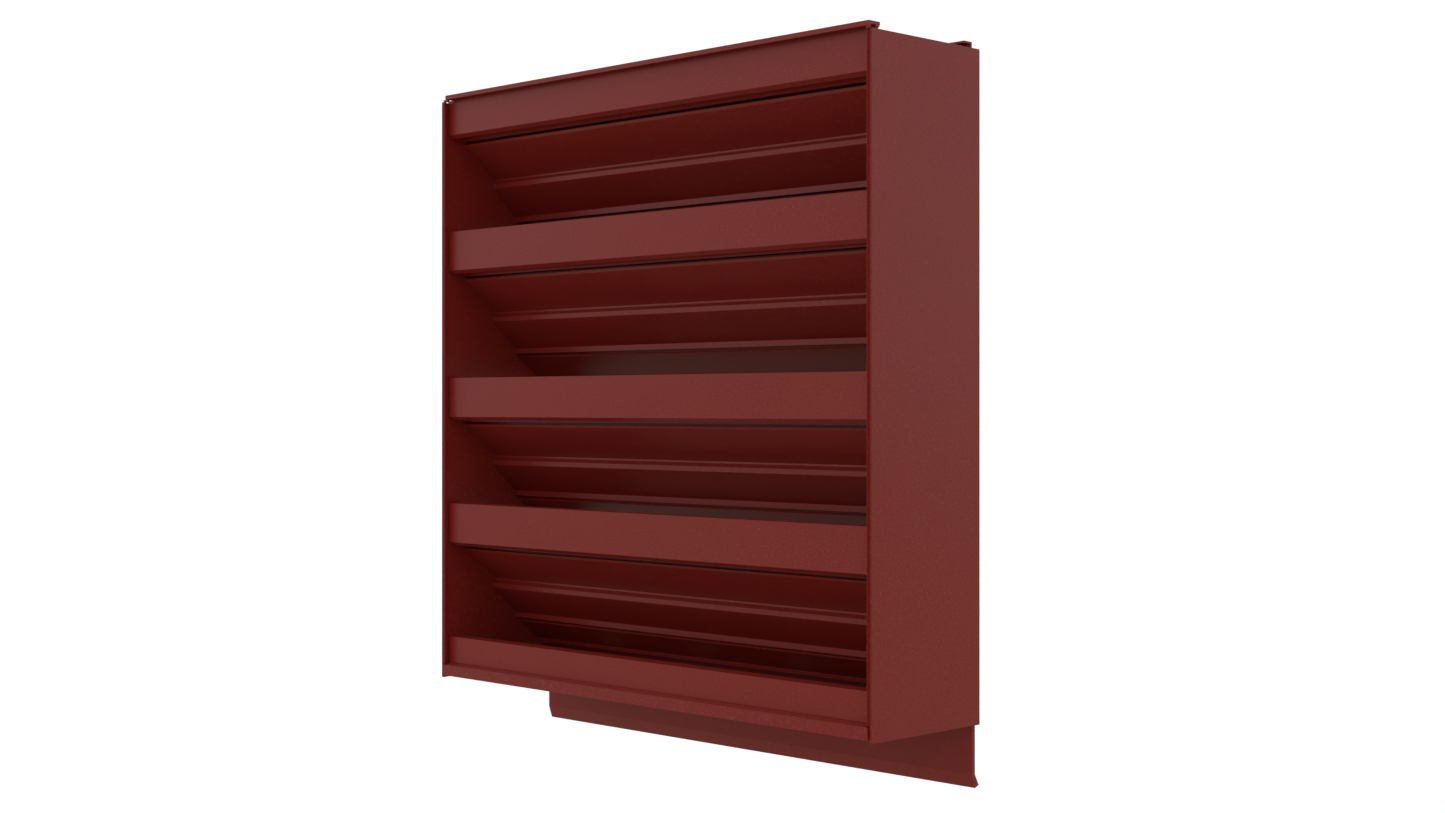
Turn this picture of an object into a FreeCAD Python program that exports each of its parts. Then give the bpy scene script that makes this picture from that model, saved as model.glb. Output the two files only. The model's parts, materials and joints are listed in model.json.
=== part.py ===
"""Fixed drainable-blade wall louvre in a 24 x 24 in, 6 in deep frame, on its sill pan flashing.

Millimetres. +X is to the right along the room-side face, +Y is out towards the weather, +Z is up.
While the parts are drawn, y is measured from the room-side face of the frame and z from the foot
of the jambs. finish() then moves everything, so that the origin is the centre of the underside
of the sill pan, which is the face that beds on the wall.
"""
import FreeCAD, Part
import math
import os

# ---- driving dimensions -------------------------------------------------------------------

frame_width = 607.0
frame_depth = 152.4
jamb_height = 615.6
wall = 2.2                    # nominal wall of the frame and blade extrusions

# room-side bottom edge of each blade's upstand, above the foot of the jambs
head_blade_level = 580.7
blade_levels = {"blade_2": 435.6, "blade_3": 278.9, "blade_4": 144.6}

blade_face_y = 9.0            # the upstands stand back from the room-side face of the frame
blade_back_y = 146.2          # outer face of the blades' weather edge
upstand_height = 41.6
hook_depth = 17.7             # the return at the top of each upstand
hook_drop = 3.4

# jamb
shoulder_width = 3.7          # the caulking rebate along the room-side edge
shoulder_y = 2.3
bead_tip_width = 0.3
bead_width = 1.65
bead_back_y = 2.05
front_return_back_y = 4.3
rear_return_width = 20.0
foot_relief_height = 14.6     # the bead is cut off below this, for the pan's upstand
rear_relief_height = 6.4

# head
rail_end_inset = 1.0
front_rail_underside = 617.5
front_rail_top = 621.9
front_rail_short_end = 9.8    # the front rail is cut short at the left
front_rail_front_y = -0.6
front_rail_back_y = 14.2
front_rail_leaf = 3.0
front_rail_nose = 3.0
right_foot_width = 4.0
right_foot_y = (0.2, 1.9)
left_foot_width = 8.1
left_foot_y = (2.3, 4.3)
left_foot_rise = 0.5          # how far it laps up the rail's end plate
rail_end_plate = 1.0          # closes the left end of the front rail
rear_rail_top = 621.1
rear_rail_leaf = 2.0
rear_rail_front_y = 131.1
rear_rail_back_y = 142.3
head_web_top = 613.4
head_fascia_drop = 38.0
head_drip_reach = 9.0

# sill
sill_top = 43.5
sill_base = 6.65
sill_floor_rise = 5.0
sill_back_y = 149.5
sill_weather_leg_top = 26.5
weep_length = 32.0
weep_height = 3.5
weep_positions = (-210.0, -70.0, 70.0, 210.0)

# sill pan
pan_sheet = 2.0
pan_end_inset = 3.45
pan_leg_inset = 5.0
pan_underside = 2.65
pan_upstand_top = 13.9
pan_leg_near_y = 147.7
pan_leg_far_y = 151.9
pan_kick_level = -45.8
pan_kick_near = (151.8, -58.5)
pan_kick_far = (157.6, -56.4)

# sealant and welds
bead_leg = 2.6                # leg of the triangular weld fillets
bedding_width = 9.0
bedding_lines = (24.0, 118.0)

blade_length = frame_width - 2 * wall
pan_length = frame_width - 2 * pan_end_inset
half_blade = blade_length / 2


# ---- helpers ------------------------------------------------------------------------------

def section(points):
    """A flat face in the YZ plane, from (y, z) points."""
    corners = [FreeCAD.Vector(0, y, z) for y, z in points]
    return Part.Face(Part.makePolygon(corners + corners[:1]))


def bar(y0, y1, z0, z1):
    """A rectangle of a YZ section."""
    return section([(y0, z0), (y1, z0), (y1, z1), (y0, z1)])


def length_of(line):
    (y0, z0), (y1, z1) = line
    return math.hypot(y1 - y0, z1 - z0)


def on_plate(line, distance, rise):
    """The (y, z) point at a distance along a plate's underside and a rise above it."""
    (y0, z0), (y1, z1) = line
    ahead_y = (y1 - y0) / length_of(line)
    ahead_z = (z1 - z0) / length_of(line)
    return (y0 + ahead_y * distance - ahead_z * rise, z0 + ahead_z * distance + ahead_y * rise)


def on_line(line, y):
    """The level of a plate's underside at a given y."""
    (y0, z0), (y1, z1) = line
    return z0 + (z1 - z0) * (y - y0) / (y1 - y0)


def plate(line):
    """A straight wall of a YZ section, on the line of its underside."""
    full = length_of(line)
    return section([line[0], line[1], on_plate(line, full, wall), on_plate(line, 0, wall)])


def extruded(faces, length):
    """One solid from the overlapping faces of a section, run along X and centred on the frame."""
    bars = [face.extrude(FreeCAD.Vector(length, 0, 0)) for face in faces]
    solid = bars[0].fuse(bars[1:]).removeSplitter() if len(bars) > 1 else bars[0]
    solid.translate(FreeCAD.Vector(-length / 2, 0, 0))
    return solid


def block(x0, x1, y0, y1, z0, z1):
    return Part.makeBox(x1 - x0, y1 - y0, z1 - z0, FreeCAD.Vector(x0, y0, z0))


def group(solids):
    """Several separate solids in one node."""
    return Part.makeCompound(solids)


def mirrored(shape):
    """The same piece for the other end of the frame."""
    return shape.mirror(FreeCAD.Vector(0, 0, 0), FreeCAD.Vector(1, 0, 0))


# ---- blades -------------------------------------------------------------------------------
# Blade sections are drawn with z = 0 at the bottom edge of the upstand.

nose = (14.43, -3.37)
slot_ceiling = 0.8
slot_far_y = 28.0
slot_foot = -5.25
groove_back_y = 42.0          # back of the groove between the slot and the first plate
lip = (30.48, -8.07)
lip_root = (36.2, -12.07)
seam_overlap = 1.5            # how far the joined pieces of a section run into each other
plate_a = ((32.62, -10.63), (73.39, -42.41))
boss_centre = (75.74, -50.07)
boss_across_flats = 11.75
boss_bore = 5.0
plate_b = ((73.31, -55.95), (101.6, -81.75))
rib_y = 101.3
rib_bottom = -87.2
link_y = 112.5                # back of the pocket between the rib and the third plate
bridge_end = -87.0
plate_c = ((105.5, -91.3), (136.4, -113.6))
drip_y = 136.4
drip_bottom = -117.0
gutter_bottom = -114.5
weather_leg_top = -84.0
weather_lip = 5.7
gutter_hooks = ((77.0, -46.0, -33.0, 5.5), (105.5, -82.4, -74.0, 5.0))


def octagon(centre, across):
    """A regular octagon that stands on a flat."""
    radius = across / 2 / math.cos(math.pi / 8)
    turns = [math.pi / 8 + k * math.pi / 4 for k in range(8)]
    return section([(centre[0] + radius * math.cos(a), centre[1] + radius * math.sin(a)) for a in turns])


def nose_and_slot():
    """The bottom of the upstand, the downward slot behind it, and the groove and lip of the first plate."""
    face = blade_face_y
    slot_roof = slot_ceiling + wall
    toe = section([(face, 0), nose, (nose[0], slot_ceiling), (face + wall, slot_roof), (face, wall)])
    ceiling = bar(face, slot_far_y + wall, slot_ceiling, slot_roof)
    far_wall = bar(slot_far_y, slot_far_y + wall, slot_foot, slot_roof)
    back = groove_back_y + wall
    groove_roof = bar(slot_far_y, back, slot_foot, slot_foot + wall)
    groove_back = bar(groove_back_y, back, on_line(plate_a, groove_back_y) + 1.2, slot_foot + wall)
    lip_bar = section([lip, plate_a[0], lip_root, (lip_root[0], lip[1])])
    return [toe, ceiling, far_wall, groove_roof, groove_back, lip_bar]


def boss():
    """The screw boss where the first plate steps down to the second."""
    y, z = boss_centre
    full = length_of(plate_a)
    joint = [on_plate(plate_a, full, 0), on_plate(plate_a, full - seam_overlap, wall / 2)]
    joint.append(on_plate(plate_a, full, wall))
    neck = section(joint + [(y + 2.43, z + 6.7), (y + 2.43, z), (y - 2.5, z)])
    return [octagon(boss_centre, boss_across_flats), neck]


def middle_rib():
    """The water-stop rib and the pocket between the second and third plates."""
    rib = bar(rib_y, rib_y + wall, rib_bottom, plate_b[1][1] + 1.5)
    bridge = plate((plate_b[1], (link_y + wall, bridge_end)))
    link = bar(link_y, link_y + wall, on_line(plate_c, link_y) + 1.2, bridge_end + wall)
    return [rib, bridge, link]


def weather_edge():
    """The drip, the gutter and the upright leg at the weather edge."""
    drip = bar(drip_y, drip_y + wall, drip_bottom, gutter_bottom + wall)
    gutter = bar(drip_y - 1.2, blade_back_y, gutter_bottom, gutter_bottom + wall)
    leg = bar(blade_back_y - wall, blade_back_y, gutter_bottom, weather_leg_top)
    lip = bar(blade_back_y - weather_lip, blade_back_y, weather_leg_top - wall, weather_leg_top)
    return [drip, gutter, leg, lip]


def hooks():
    """The gutter hooks on the upper side, which catch the water that runs down each plate."""
    faces = []
    for y, root, top, reach in gutter_hooks:
        faces.append(bar(y, y + wall, root, top))
        faces.append(bar(y + wall - reach, y + wall, top - wall, top))
    return faces


def upstand(height, with_hook):
    face = blade_face_y
    faces = [bar(face, face + wall, 0, height)]
    if with_hook:
        faces.append(bar(face, face + hook_depth, height - wall, height))
        faces.append(bar(face + hook_depth - wall, face + hook_depth, height - wall - hook_drop, height))
    return faces


def blade(level, height=upstand_height, with_hook=True):
    faces = upstand(height, with_hook) + nose_and_slot() + boss() + middle_rib() + weather_edge() + hooks()
    faces += [plate(plate_a), plate(plate_b), plate(plate_c)]
    solid = extruded(faces, blade_length)
    start = FreeCAD.Vector(-frame_width / 2, boss_centre[0], boss_centre[1])
    bore = Part.makeCylinder(boss_bore / 2, frame_width, start, FreeCAD.Vector(1, 0, 0))
    solid = solid.cut(bore)
    solid.translate(FreeCAD.Vector(0, 0, level))
    return solid


def head_blade():
    """The top blade: its upstand is trimmed to fit under the front rail and has no hook."""
    return blade(head_blade_level, front_rail_underside - head_blade_level, False)


# ---- frame --------------------------------------------------------------------------------

def jamb_right():
    """A channel: plain outer wall, caulking rebate and pointed bead in front, return flange behind."""
    bead_tip = shoulder_width + bead_tip_width
    bead_root = shoulder_width + bead_width
    plan = [(0, shoulder_y), (0, frame_depth), (rear_return_width, frame_depth),
            (rear_return_width, frame_depth - wall), (wall, frame_depth - wall), (wall, front_return_back_y),
            (bead_root, front_return_back_y), (bead_root, bead_back_y), (bead_tip, 0), (shoulder_width, 0),
            (shoulder_width, shoulder_y)]
    corners = [FreeCAD.Vector(frame_width / 2 - inward, y, 0) for inward, y in plan]
    solid = Part.Face(Part.makePolygon(corners + corners[:1])).extrude(FreeCAD.Vector(0, 0, jamb_height))
    inside = frame_width / 2 - pan_end_inset + 0.4
    front_relief = block(0, inside, -1, front_return_back_y + 1, -1, foot_relief_height)
    rear_relief = block(0, inside, frame_depth - wall - 1, frame_depth + 1, -1, rear_relief_height)
    return solid.cut(front_relief).cut(rear_relief)


def head():
    """The top channel between the jambs: riser behind the top blade, web, and drip-edged weather fascia."""
    riser_y = blade_face_y + wall
    back = blade_back_y
    foot = head_web_top - head_fascia_drop
    faces = [bar(riser_y, riser_y + wall, head_web_top - 12, front_rail_underside)]
    faces.append(bar(riser_y, back, head_web_top - wall, head_web_top))
    faces.append(bar(back - wall, back, foot, head_web_top))
    faces.append(bar(back - head_drip_reach, back, foot, foot + wall))
    faces.append(bar(back - head_drip_reach, back - head_drip_reach + wall, foot, foot + 3 * wall))
    return extruded(faces, blade_length)


def head_front_rail():
    """The room-side half of the anchor track. Its feet stand on the ends of the jambs."""
    front = front_rail_front_y
    seat_back_y = blade_face_y + 2 * wall
    leaf = bar(front, front_rail_back_y, front_rail_top - front_rail_leaf, front_rail_top)
    nose_bar = bar(front, front + front_rail_nose, front_rail_underside, front_rail_top)
    seat = bar(blade_face_y, seat_back_y, front_rail_underside, front_rail_top)
    left = front_rail_short_end - frame_width / 2
    right = frame_width / 2 - rail_end_inset
    solid = extruded([leaf, nose_bar, seat], right - left)
    solid.translate(FreeCAD.Vector((left + right) / 2, 0, 0))
    top = front_rail_underside + 1
    right_foot = block(right - right_foot_width, right, right_foot_y[0], right_foot_y[1], jamb_height, top)
    inner = left + rail_end_plate
    left_foot = block(inner - left_foot_width, inner, left_foot_y[0], left_foot_y[1],
                      jamb_height, front_rail_underside + left_foot_rise)
    end_plate = block(left, inner, front, seat_back_y, front_rail_underside, front_rail_top)
    return solid.fuse([right_foot, left_foot, end_plate]).removeSplitter()


def head_rear_rail():
    """The weather-side half of the anchor track: an angle whose leg stands on the head and the jambs."""
    leg_y = rear_rail_back_y - rear_rail_leaf
    length = frame_width - 2 * rail_end_inset
    leaf = bar(rear_rail_front_y, rear_rail_back_y, rear_rail_top - rear_rail_leaf, rear_rail_top)
    leg = bar(leg_y, rear_rail_back_y, jamb_height, rear_rail_top)
    solid = extruded([leaf, leg], length)
    inner_leg = extruded([bar(leg_y, rear_rail_back_y, head_web_top, jamb_height + 1)], blade_length - 0.4)
    return solid.fuse(inner_leg).removeSplitter()


def sill():
    """The bottom trough: hooked upstand, floor that falls to the weather side, weather leg with weeps."""
    face = blade_face_y
    back = sill_back_y
    faces = [bar(face, face + wall, sill_base, sill_top)]
    faces.append(bar(face, face + hook_depth, sill_top - wall, sill_top))
    faces.append(bar(face + hook_depth - wall, face + hook_depth, sill_top - wall - hook_drop, sill_top))
    floor = [(face, sill_base), (back, sill_base), (back, sill_base + wall)]
    floor += [(face + wall, sill_base + wall + sill_floor_rise), (face, sill_base + wall + sill_floor_rise)]
    hollow = [(face + wall, sill_base), (back - 12, sill_base), (back - 12, sill_base + 0.3)]
    hollow += [(face + wall, sill_base + sill_floor_rise)]
    faces.append(section(floor).cut(section(hollow)))
    faces.append(bar(face, face + 3 * wall, sill_base, sill_base + wall))
    faces.append(bar(back - wall, back, sill_base, sill_weather_leg_top))
    faces.append(bar(back - wall - 3.4, back, sill_weather_leg_top - wall, sill_weather_leg_top))
    solid = extruded(faces, blade_length)
    for x in weep_positions:
        low = sill_base + wall + 0.6
        start = x - weep_length / 2
        weep = block(start, start + weep_length, back - wall - 1, back + 1, low, low + weep_height)
        solid = solid.cut(weep)
    return solid


def sill_pan():
    """The flashing under the sill: small upstand, flat bed, and a drip leg that kicks outwards."""
    top = pan_underside + pan_sheet
    upturn = bar(0, pan_sheet, pan_underside, pan_upstand_top)
    bed = bar(0, pan_leg_far_y, pan_underside, top)
    leg = section([(pan_leg_near_y, top), (pan_leg_near_y, pan_kick_level), pan_kick_near, pan_kick_far,
                   (pan_leg_far_y, pan_kick_level), (pan_leg_far_y, top)])
    drip_leg = extruded([leg], frame_width - 2 * pan_leg_inset)
    return extruded([upturn, bed], pan_length).fuse(drip_leg).removeSplitter()


# ---- sealant and welds --------------------------------------------------------------------

def sill_face_sealant():
    """The tooled joint between the pan's upstand and the sill's face."""
    top = pan_upstand_top
    far = blade_face_y
    bead = section([(pan_sheet, top - 5), (far, top - 5), (far, top + 2.35), (pan_sheet, top)])
    return extruded([bead], pan_length - 8)


def pan_bedding_sealant():
    """Two flattened beads on which the sill beds down."""
    low = pan_underside + pan_sheet
    strips = []
    for y in bedding_lines:
        top = sill_base if y > sill_back_y - 12 else sill_base + floor_underside_rise(y)
        strips.append(extruded([bar(y, y + bedding_width, low, top)], blade_length - 20))
    return group(strips)


def floor_underside_rise(y):
    """How far the underside of the sill's floor stands above its base at the far edge of a bead."""
    run = (y + bedding_width - blade_face_y - wall) / (sill_back_y - 12 - blade_face_y - wall)
    return sill_floor_rise + (0.3 - sill_floor_rise) * run


def pan_end_sealant():
    """Sealant in the gaps between the ends of the pan and the jambs."""
    top = pan_underside + pan_sheet
    right = block(pan_length / 2, frame_width / 2 - wall, 6, 146, pan_underside, top)
    return group([right, mirrored(right)])


def weld_run(line, first, last):
    """A fillet on the upper side of a plate, in the corner with the right jamb, between two distances."""
    foot = FreeCAD.Vector(half_blade, *on_plate(line, first, wall))
    peak = FreeCAD.Vector(half_blade, *on_plate(line, first, wall + bead_leg))
    end = FreeCAD.Vector(half_blade, *on_plate(line, last, wall))
    corners = [foot, peak, foot - FreeCAD.Vector(bead_leg, 0, 0)]
    return Part.Face(Part.makePolygon(corners + corners[:1])).extrude(end - foot)


def blade_welds(level):
    solids = []
    for line in (plate_a, plate_b, plate_c):
        bead = weld_run(line, 0.32 * length_of(line), 0.88 * length_of(line))
        bead.translate(FreeCAD.Vector(0, 0, level))
        solids += [bead, mirrored(bead)]
    return group(solids)


def corner_fillet(y0, y1, z, up):
    """A straight fillet along Y, in the corner of a level wall with the right jamb."""
    foot = FreeCAD.Vector(half_blade, y0, z)
    corners = [foot, foot + FreeCAD.Vector(0, 0, up * bead_leg), foot - FreeCAD.Vector(bead_leg, 0, 0)]
    return Part.Face(Part.makePolygon(corners + corners[:1])).extrude(FreeCAD.Vector(0, y1 - y0, 0))


def head_welds():
    bead = corner_fillet(24, 132, head_web_top, 1)
    return group([bead, mirrored(bead)])


def sill_welds():
    """Fillets behind the upstand, between the sill and the jambs."""
    y = blade_face_y + wall
    foot = FreeCAD.Vector(half_blade, y, 20)
    corners = [foot, foot + FreeCAD.Vector(0, bead_leg, 0), foot - FreeCAD.Vector(bead_leg, 0, 0)]
    bead = Part.Face(Part.makePolygon(corners + corners[:1])).extrude(FreeCAD.Vector(0, 0, 16))
    return group([bead, mirrored(bead)])


# ---- assembly -----------------------------------------------------------------------------

def finish(name, shape, pieces=1):
    """Moves a node to the part's own origin, tests that it is so many sound solids, and writes it."""
    shape.translate(FreeCAD.Vector(0, -frame_depth / 2, -pan_underside))
    solids = shape.Solids
    if not solids or not all(solid.isValid() and solid.isClosed() for solid in solids):
        raise SystemExit(name + " is not made of closed, valid solids")
    if len(solids) != pieces:
        raise SystemExit(name + " has " + str(len(solids)) + " solids")
    kept = solids[0] if pieces == 1 else Part.makeCompound(solids)
    kept.exportStep("parts/" + name + ".step")
    print(name, pieces, "solid(s)", round(shape.Volume / 1000, 2), "cm3")


def main():
    os.makedirs("parts", exist_ok=True)
    finish("jamb_right", jamb_right())
    finish("jamb_left", mirrored(jamb_right()))
    finish("head", head())
    finish("head_front_rail", head_front_rail())
    finish("head_rear_rail", head_rear_rail())
    finish("head_blade", head_blade())
    for name, level in blade_levels.items():
        finish(name, blade(level))
        finish(name + "_welds", blade_welds(level), 6)
    finish("head_blade_welds", blade_welds(head_blade_level), 6)
    finish("head_welds", head_welds(), 2)
    finish("sill", sill())
    finish("sill_welds", sill_welds(), 2)
    finish("sill_pan", sill_pan())
    finish("sill_face_sealant", sill_face_sealant())
    finish("pan_bedding_sealant", pan_bedding_sealant(), 2)
    finish("pan_end_sealant", pan_end_sealant(), 2)


main()
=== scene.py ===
import json
import math
import random

import bmesh
import bpy
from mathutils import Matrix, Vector


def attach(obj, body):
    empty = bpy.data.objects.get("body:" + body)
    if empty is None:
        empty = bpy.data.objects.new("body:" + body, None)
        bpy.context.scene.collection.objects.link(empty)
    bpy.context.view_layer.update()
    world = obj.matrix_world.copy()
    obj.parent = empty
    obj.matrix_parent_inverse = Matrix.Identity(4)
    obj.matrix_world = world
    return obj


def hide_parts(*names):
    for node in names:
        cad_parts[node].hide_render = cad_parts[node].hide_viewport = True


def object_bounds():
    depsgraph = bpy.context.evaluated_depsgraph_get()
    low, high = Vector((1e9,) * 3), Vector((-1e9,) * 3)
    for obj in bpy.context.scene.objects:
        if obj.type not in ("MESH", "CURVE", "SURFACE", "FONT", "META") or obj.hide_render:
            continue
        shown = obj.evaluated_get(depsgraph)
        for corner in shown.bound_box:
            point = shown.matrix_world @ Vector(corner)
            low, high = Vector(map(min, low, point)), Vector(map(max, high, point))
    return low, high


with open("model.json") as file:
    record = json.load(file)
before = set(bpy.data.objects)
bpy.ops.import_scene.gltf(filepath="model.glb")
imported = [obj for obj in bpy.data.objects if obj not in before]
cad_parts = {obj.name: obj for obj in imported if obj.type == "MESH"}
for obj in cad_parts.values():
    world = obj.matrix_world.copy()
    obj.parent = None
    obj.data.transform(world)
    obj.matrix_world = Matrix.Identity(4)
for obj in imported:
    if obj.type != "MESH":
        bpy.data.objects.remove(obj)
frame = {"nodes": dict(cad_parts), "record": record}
cad_box = [list(corner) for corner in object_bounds()]

scene = bpy.context.scene
nodes = frame["nodes"]
slot_of = {entry["node"]: entry["material_slot"] for entry in frame["record"]["subparts"]}


# ---- shader helpers ------------------------------------------------------------------------

def grey(value):
    return (value, value, value, 1.0)


def shade(color, factor):
    """A colour made darker or lighter."""
    return tuple(channel * factor for channel in color[:3]) + (1.0,)


def node_tree(name):
    """A new material and the parts of its node tree."""
    material = bpy.data.materials.new(name)
    material.use_nodes = True
    tree = material.node_tree
    tree.nodes.clear()
    out = tree.nodes.new("ShaderNodeOutputMaterial")
    shader = tree.nodes.new("ShaderNodeBsdfPrincipled")
    tree.links.new(shader.outputs["BSDF"], out.inputs["Surface"])
    return material, tree, shader


def add(tree, kind, **values):
    """A node, with its inputs set by name."""
    node = tree.nodes.new(kind)
    for key, value in values.items():
        node.inputs[key.replace("_", " ")].default_value = value
    return node


def ramp(tree, source, stops):
    """A colour ramp on a value: stops are (position, colour)."""
    node = tree.nodes.new("ShaderNodeValToRGB")
    elements = node.color_ramp.elements
    while len(elements) > 1:
        elements.remove(elements[-1])
    elements[0].position, elements[0].color = stops[0][0], stops[0][1]
    for position, color in stops[1:]:
        elements.new(position).color = color
    tree.links.new(source, node.inputs["Fac"])
    return node.outputs["Color"]


def remap(tree, source, low, high, to_low, to_high):
    """A value stretched from one range to another, and held at its ends."""
    node = add(tree, "ShaderNodeMapRange", From_Min=low, From_Max=high, To_Min=to_low, To_Max=to_high)
    tree.links.new(source, node.inputs["Value"])
    return node.outputs["Result"]


def times(tree, one, two):
    """The product of two values."""
    node = tree.nodes.new("ShaderNodeMath")
    node.operation = "MULTIPLY"
    tree.links.new(one, node.inputs[0])
    tree.links.new(two, node.inputs[1])
    return node.outputs["Value"]


def mix_color(tree, factor, one, two, blend_type="MIX"):
    """Two colours mixed by a factor. A colour is a socket or a plain value."""
    node = tree.nodes.new("ShaderNodeMix")
    node.data_type = "RGBA"
    node.blend_type = blend_type
    tree.links.new(factor, node.inputs["Factor"])
    for color, socket in ((one, node.inputs[6]), (two, node.inputs[7])):
        if isinstance(color, tuple):
            socket.default_value = color
        else:
            tree.links.new(color, socket)
    return node.outputs[2]


def noise(tree, position, scale, detail=3.0, roughness=0.55):
    node = add(tree, "ShaderNodeTexNoise", Scale=scale, Detail=detail, Roughness=roughness)
    tree.links.new(position, node.inputs["Vector"])
    return node.outputs["Fac"]


def bumped(tree, shader, height, strength, distance):
    """Small relief on a surface."""
    bump = add(tree, "ShaderNodeBump", Strength=strength, Distance=distance)
    tree.links.new(height, bump.inputs["Height"])
    tree.links.new(bump.outputs["Normal"], shader.inputs["Normal"])


# ---- materials -----------------------------------------------------------------------------

PAINT_RED = (0.190, 0.0125, 0.0085)
RUBBED_RED = (0.20, 0.050, 0.042, 1.0)
DUST = (0.30, 0.20, 0.17, 1.0)

# Noise scales, in waves per metre.
PEEL_SCALE = 1400.0
SPECK_SCALE = 520.0
BLOTCH_SCALE = 11.0
DRAG_SCALE = 900.0
SKIN_SCALE = 260.0
PINHOLE_SCALE = 240.0

DRAG_STRETCH = 0.06           # drag marks are this much coarser along the joint
PEEL_HEIGHT = 0.00012
DRAG_HEIGHT = 0.0002


def satin_paint(name, base, roughness, specular, peel=0.25, dust=0.10, rubbed=0.5):
    """Satin paint on aluminium: orange peel, faint blotches, fine specks of dust, rubbed sharp edges."""
    material, tree, shader = node_tree(name)
    position = tree.nodes.new("ShaderNodeTexCoord").outputs["Object"]
    fine = noise(tree, position, PEEL_SCALE, roughness=0.6)
    speck = noise(tree, position, SPECK_SCALE, detail=2.0)
    blotch = noise(tree, position, BLOTCH_SCALE)

    tone = ramp(tree, blotch, [(0.32, shade(base, 0.97)), (0.68, shade(base, 1.03))])
    grained = mix_color(tree, remap(tree, fine, 0.3, 0.7, 0.0, 0.3), tone, grey(0.75), "MULTIPLY")
    dusty = mix_color(tree, remap(tree, speck, 0.62, 0.75, 0.0, dust), grained, DUST)
    pointed = tree.nodes.new("ShaderNodeNewGeometry").outputs["Pointiness"]
    sharp = remap(tree, pointed, 0.515, 0.60, 0.0, 1.0)
    worn = remap(tree, speck, 0.5, 0.72, 0.0, rubbed)
    color = mix_color(tree, times(tree, sharp, worn), dusty, RUBBED_RED)
    tree.links.new(color, shader.inputs["Base Color"])

    gloss = remap(tree, speck, 0.3, 0.7, roughness - 0.04, roughness + 0.06)
    tree.links.new(gloss, shader.inputs["Roughness"])
    shader.inputs["Specular IOR Level"].default_value = specular
    bumped(tree, shader, fine, peel, PEEL_HEIGHT)
    return material


def colour_matched_sealant(name):
    """Overpainted sealant: duller, with drag marks along the joint, and small pinholes painted in as dark
    spots: painted shade for holes the shape doesn't have.
    """
    material, tree, shader = node_tree(name)
    position = tree.nodes.new("ShaderNodeTexCoord").outputs["Object"]
    stretch = add(tree, "ShaderNodeMapping", Scale=(DRAG_STRETCH, 1.0, 1.0))
    tree.links.new(position, stretch.inputs["Vector"])
    drag = noise(tree, stretch.outputs["Vector"], DRAG_SCALE)
    skin = noise(tree, position, SKIN_SCALE)
    holes = add(tree, "ShaderNodeTexVoronoi", Scale=PINHOLE_SCALE)
    tree.links.new(position, holes.inputs["Vector"])
    # Pinholes are painted as dark spots: painted shade that stands in for small holes the shape doesn't
    # have.
    pinhole_shade = remap(tree, holes.outputs["Distance"], 0.06, 0.16, 0.5, 0.0)

    tone = ramp(tree, drag, [(0.35, shade(PAINT_RED, 0.82)), (0.65, shade(PAINT_RED, 1.02))])
    tree.links.new(mix_color(tree, pinhole_shade, tone, shade(PAINT_RED, 0.4)), shader.inputs["Base Color"])
    tree.links.new(remap(tree, skin, 0.3, 0.7, 0.46, 0.58), shader.inputs["Roughness"])
    shader.inputs["Specular IOR Level"].default_value = 0.2
    bumped(tree, shader, drag, 0.4, DRAG_HEIGHT)
    return material


materials = {
    "frame_and_blade_paint": satin_paint("satin_red_paint", PAINT_RED, 0.32, 0.24),
    "trim_paint": satin_paint("satin_red_trim_paint", shade(PAINT_RED, 0.985), 0.34, 0.24,
                              dust=0.14, rubbed=0.65),
    "painted_weld": satin_paint("red_paint_on_weld", shade(PAINT_RED, 0.9), 0.42, 0.22,
                                peel=0.5, rubbed=0.3),
    "sealant": colour_matched_sealant("red_painted_sealant"),
}


# ---- pieces --------------------------------------------------------------------------------

MERGE_DISTANCE = 1e-6
FLAT_ANGLE = math.radians(1)  # faces closer than this in direction are one face


def cleaned(node, **choices):
    """A CAD node's shape with its corners merged and each flat stretch made into one face."""
    shape = bmesh.new()
    shape.from_mesh(node.data)
    bmesh.ops.remove_doubles(shape, verts=shape.verts, dist=MERGE_DISTANCE)
    bmesh.ops.dissolve_limit(shape, angle_limit=FLAT_ANGLE, use_dissolve_boundaries=False,
                             verts=shape.verts, edges=shape.edges, **choices)
    return shape


def stand_in(node, suffix, shape, material):
    """Turns a built shape into the piece that stands for a CAD node."""
    mesh = bpy.data.meshes.new(node.name + suffix)
    shape.to_mesh(mesh)
    shape.free()
    mesh.materials.append(material)
    piece = bpy.data.objects.new(node.name + suffix, mesh)
    scene.collection.objects.link(piece)
    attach(piece, "root")
    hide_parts(node.name)
    return piece


EDGE_ANGLE = math.radians(12)  # edges sharper than this are rounded
EDGE_WIDTH = 0.00015


def rounded_copy(node, material):
    """A copy of a CAD piece with slightly rounded edges, as a painted extrusion has."""
    shape = cleaned(node, delimit={"NORMAL"})
    for face in shape.faces:
        face.smooth = False
    piece = stand_in(node, "_rounded", shape, material)
    bevel = piece.modifiers.new("edges", "BEVEL")
    bevel.width = EDGE_WIDTH
    bevel.segments = 2
    bevel.limit_method = "ANGLE"
    bevel.angle_limit = EDGE_ANGLE


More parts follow.
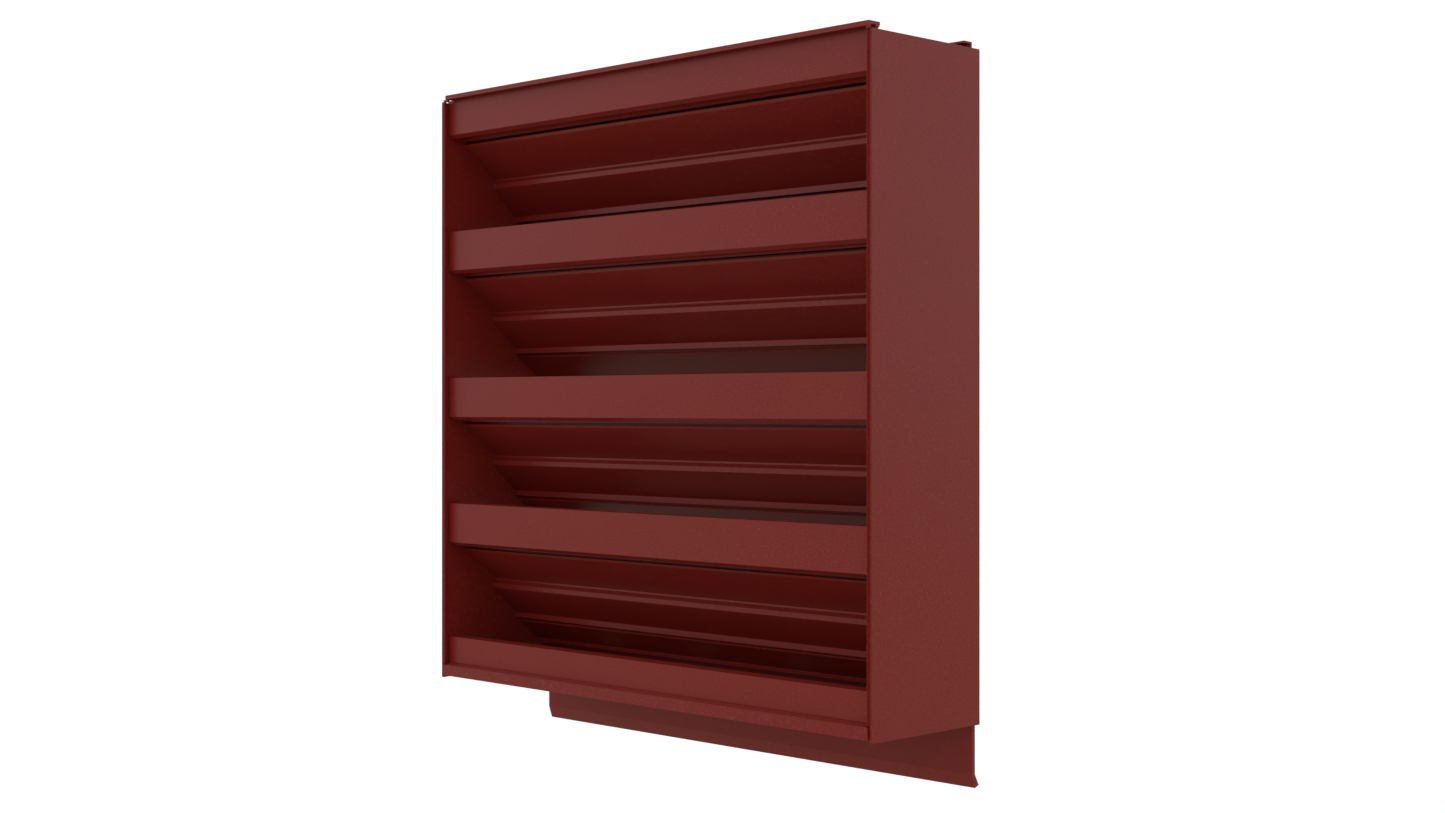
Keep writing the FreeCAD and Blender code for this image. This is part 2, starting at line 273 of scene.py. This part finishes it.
def prisms(node):
    """The straight prisms of a CAD node: for each, the corners of one end and the way along it."""
    shape = cleaned(node)
    found = []
    waiting = set(shape.faces)
    while waiting:
        island = [waiting.pop()]
        for face in island:
            for edge in face.edges:
                for other in edge.link_faces:
                    if other in waiting:
                        waiting.discard(other)
                        island.append(other)
        longest = max((edge for face in island for edge in face.edges), key=lambda edge: edge.calc_length())
        along = longest.verts[1].co - longest.verts[0].co
        way = along.normalized()
        ends = [face for face in island if abs(face.normal.dot(way)) > 0.99]
        ends.sort(key=lambda face: face.calc_center_median().dot(way))
        found.append(([vertex.co.copy() for vertex in ends[0].verts], along))
    shape.free()
    found.sort(key=lambda prism: tuple(round(c, 5) for c in prism[0][0]))
    return found


def add_tube(shape, rings):
    """A closed skin through rings of points."""
    loops = [[shape.verts.new(point) for point in ring] for ring in rings]
    count = len(loops[0])
    for one, two in zip(loops, loops[1:]):
        for i in range(count):
            shape.faces.new((one[i], one[(i + 1) % count], two[(i + 1) % count], two[i]))
    shape.faces.new(list(reversed(loops[0])))
    shape.faces.new(loops[-1])


def finish_tubes(node, suffix, shape, material):
    """The piece made of tubes, smooth along their sides and flat at their ends."""
    bmesh.ops.recalc_face_normals(shape, faces=shape.faces)
    for face in shape.faces:
        face.smooth = len(face.verts) == 4
    stand_in(node, suffix, shape, material)


RIPPLE = 0.0016               # length of one ripple of a weld
RIPPLE_STEPS = 5
RIPPLE_LAG = 0.35             # how far a ripple's middle lags, in ripples
BEAD_STEPS = 6                # points across a weld's face
BEAD_FLATNESS = 0.5           # 0 is a round face and 1 a flat one
VALLEY = 0.84                 # a bead's size between ripples, against its CAD fillet
CREST = 0.14                  # what a ripple adds to it
SIZE_JITTER = 0.035
END_SIZE = 0.45               # a bead starts and stops at this share of its size
END_LENGTH = 0.003            # and grows over this length


def weld_ring(foot, up, across, size, start, way):
    """One cut through a fillet: the corner, and a face that bulges a little and lags in the middle."""
    ring = [foot + start]
    for i in range(BEAD_STEPS + 1):
        turn = math.pi / 2 * i / BEAD_STEPS
        flat = BEAD_FLATNESS / (math.cos(turn) + math.sin(turn))
        reach = size * (1 - BEAD_FLATNESS + flat)
        lag = way * (RIPPLE_LAG * RIPPLE * math.sin(2 * turn))
        ring.append(foot + start + lag + (up * math.cos(turn) + across * math.sin(turn)) * reach)
    return ring


def weld_beads(node, material):
    """Rippled fillets, one for each straight fillet of the CAD node."""
    chance = random.Random(node.name)
    shape = bmesh.new()
    for corners, along in prisms(node):
        spread = {i: (corners[i - 1] - corners[i]).angle(corners[i - 2] - corners[i]) for i in range(3)}
        square = max(spread, key=spread.get)
        foot, up, across = corners[square], corners[square - 1], corners[square - 2]
        way = along.normalized()
        ripples = int(along.length / RIPPLE) - 1
        rings = []
        for ripple in range(ripples):
            jitter = chance.uniform(-SIZE_JITTER, SIZE_JITTER)
            for step in range(RIPPLE_STEPS):
                phase = step / RIPPLE_STEPS
                ahead = (ripple + phase) * RIPPLE
                left = ripples * RIPPLE - ahead
                taper = min(1.0, END_SIZE + ahead / END_LENGTH, END_SIZE + left / END_LENGTH)
                size = (VALLEY + CREST * math.sqrt(1 - phase * phase) + jitter) * taper
                rings.append(weld_ring(foot, up - foot, across - foot, size, way * ahead, way))
        add_tube(shape, rings)
    finish_tubes(node, "_beads", shape, material)


TOOLING_STEP = 0.004          # distance between cuts along a bead of sealant
EDGE_STEPS = 5
WAVES = 4                     # sine waves that make the tooling uneven
WAVE_PITCH = (30, 300)        # their pitch, in radians per metre
DIP = 0.07                    # how far a face is drawn in, as a share of its smallest side
DIP_SWING = 0.05              # how much that varies


def tooled_sealant(node, material):
    """Beads whose faces are drawn in a little between their edges, unevenly, as a spatula leaves them."""
    chance = random.Random(node.name)
    shape = bmesh.new()
    for corners, along in prisms(node):
        centre = sum(corners, Vector()) / len(corners)
        smallest = min((corners[i] - corners[i - 1]).length for i in range(len(corners)))
        waves = [(chance.uniform(*WAVE_PITCH), chance.uniform(0, math.tau)) for _ in range(WAVES)]
        rings = []
        stations = int(along.length / TOOLING_STEP)
        for station in range(stations + 1):
            start = along * (station / stations)
            wave = sum(math.sin(pitch * start.length + phase) for pitch, phase in waves) / WAVES
            dip = smallest * (DIP + DIP_SWING * wave)
            ring = []
            for i, corner in enumerate(corners):
                following = corners[(i + 1) % len(corners)]
                for step in range(EDGE_STEPS):
                    share = step / EDGE_STEPS
                    point = corner.lerp(following, share)
                    inward = (centre - point).normalized()
                    ring.append(point + start + inward * (dip * math.sin(math.pi * share)))
            rings.append(ring)
        add_tube(shape, rings)
    finish_tubes(node, "_tooled", shape, material)


for name, node in nodes.items():
    material = materials[slot_of[name]]
    node.data.materials.clear()
    node.data.materials.append(material)
    if slot_of[name] == "painted_weld":
        weld_beads(node, material)
    elif slot_of[name] == "sealant":
        tooled_sealant(node, material)
    else:
        rounded_copy(node, material)


# ---- stage ---------------------------------------------------------------------------------

FLOOR_DROP = 0.9              # the part hangs this far above the floor, as if held in its wall
FLOOR_HALF = 400.0            # so far out that the floor's edges come close to the horizon

SKY = grey(1.04)
GROUND_FRONT = (0.68, 0.58, 0.49, 1.0)
GROUND_BEHIND = (0.22, 0.185, 0.16, 1.0)
HORIZON = (0.488, 0.496)      # where ground turns to sky: 0 is straight down, 1 is straight up
BEHIND = (-0.08, 0.25)        # the directions' Y from the front ground to the ground behind
BENEATH = (-0.3, -0.6)        # their Z from the far ground to the ground beneath


def add_floor():
    """A white floor, far below. Diffuse and glossy rays don't see it."""
    mesh = bpy.data.meshes.new("floor")
    half = FLOOR_HALF
    corners = [(-half, -half, 0), (half, -half, 0), (half, half, 0), (-half, half, 0)]
    mesh.from_pydata(corners, [], [(0, 1, 2, 3)])
    floor = bpy.data.objects.new("floor", mesh)
    floor.location = (0, 0, cad_box[0][2] - FLOOR_DROP)
    scene.collection.objects.link(floor)
    material, _, shader = node_tree("pale_floor")
    shader.inputs["Base Color"].default_value = grey(1.0)
    shader.inputs["Roughness"].default_value = 0.9
    floor.visible_diffuse = False
    floor.visible_glossy = False
    mesh.materials.append(material)


def add_studio():
    """A white sky over a warm ground, which is dimmer where it is both behind and beneath the part."""
    world = bpy.data.worlds.new("studio")
    scene.world = world
    world.use_nodes = True
    tree = world.node_tree
    background = tree.nodes["Background"]
    direction = tree.nodes.new("ShaderNodeTexCoord")
    split = tree.nodes.new("ShaderNodeSeparateXYZ")
    tree.links.new(direction.outputs["Generated"], split.inputs["Vector"])
    height = remap(tree, split.outputs["Z"], -1.0, 1.0, 0.0, 1.0)
    above = ramp(tree, height, [(HORIZON[0], grey(0.0)), (HORIZON[1], grey(1.0))])
    behind = remap(tree, split.outputs["Y"], BEHIND[0], BEHIND[1], 0.0, 1.0)
    beneath = remap(tree, split.outputs["Z"], BENEATH[0], BENEATH[1], 0.0, 1.0)
    ground = mix_color(tree, times(tree, behind, beneath), GROUND_FRONT, GROUND_BEHIND)
    tree.links.new(mix_color(tree, above, ground, SKY), background.inputs["Color"])
    background.inputs["Strength"].default_value = 1.0


CAMERA_PLACE = (1.4313, -1.3831, 0.28735)
CAMERA_YAW = math.radians(45)
LENS = 50.0                   # millimetres, on a sensor 36 wide
SENSOR_WIDTH = 36.0


def add_camera():
    """A level camera on the room side, turned 45 degrees, so that the right jamb's outer face shows."""
    data = bpy.data.cameras.new("camera")
    data.lens = LENS
    data.sensor_width = SENSOR_WIDTH
    camera = bpy.data.objects.new("camera", data)
    camera.location = CAMERA_PLACE
    camera.rotation_euler = (math.radians(90), 0.0, CAMERA_YAW)
    scene.collection.objects.link(camera)
    scene.camera = camera


add_floor()
add_studio()
scene.view_settings.view_transform = "Standard"
add_camera()
